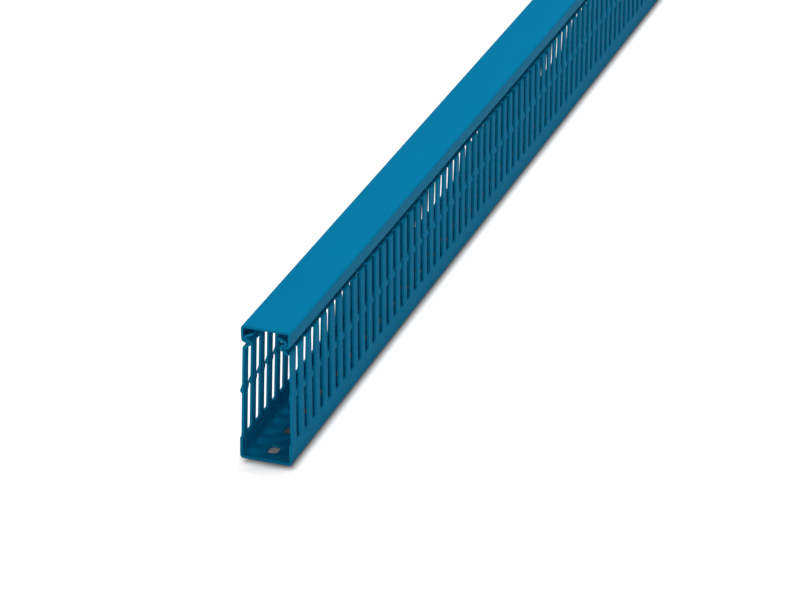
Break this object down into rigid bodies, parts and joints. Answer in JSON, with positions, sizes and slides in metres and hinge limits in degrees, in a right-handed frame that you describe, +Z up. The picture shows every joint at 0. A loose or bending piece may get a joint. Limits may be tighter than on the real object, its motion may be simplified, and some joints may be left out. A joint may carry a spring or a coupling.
{
  "type": "slotted wire duct",
  "caption": "Slotted plastic wiring duct: an open channel with finger walls that holds and leads out wires, closed by a clip-on cover.",
  "frame": {"origin": "middle of the underside, halfway along the duct", "axes": "+X along the duct, +Y across it, +Z up out of the open side towards the cover"},
  "size_m": [1, 0.03, 0.08],
  "materials": {
    "duct_plastic": "satin, extruded",
    "cover_plastic": "satin, extruded"
  },
  "bodies": {
    "channel": {"slotted_channel": "duct_plastic"},
    "cover": {"snap_cover": "cover_plastic"}
  },
  "joints": [
    {"name": "cover_slide", "type": "slide", "parent": "channel", "child": "cover", "axis": [1, 0, 0], "range_m": [-1.01, 1.01]}
  ]
}
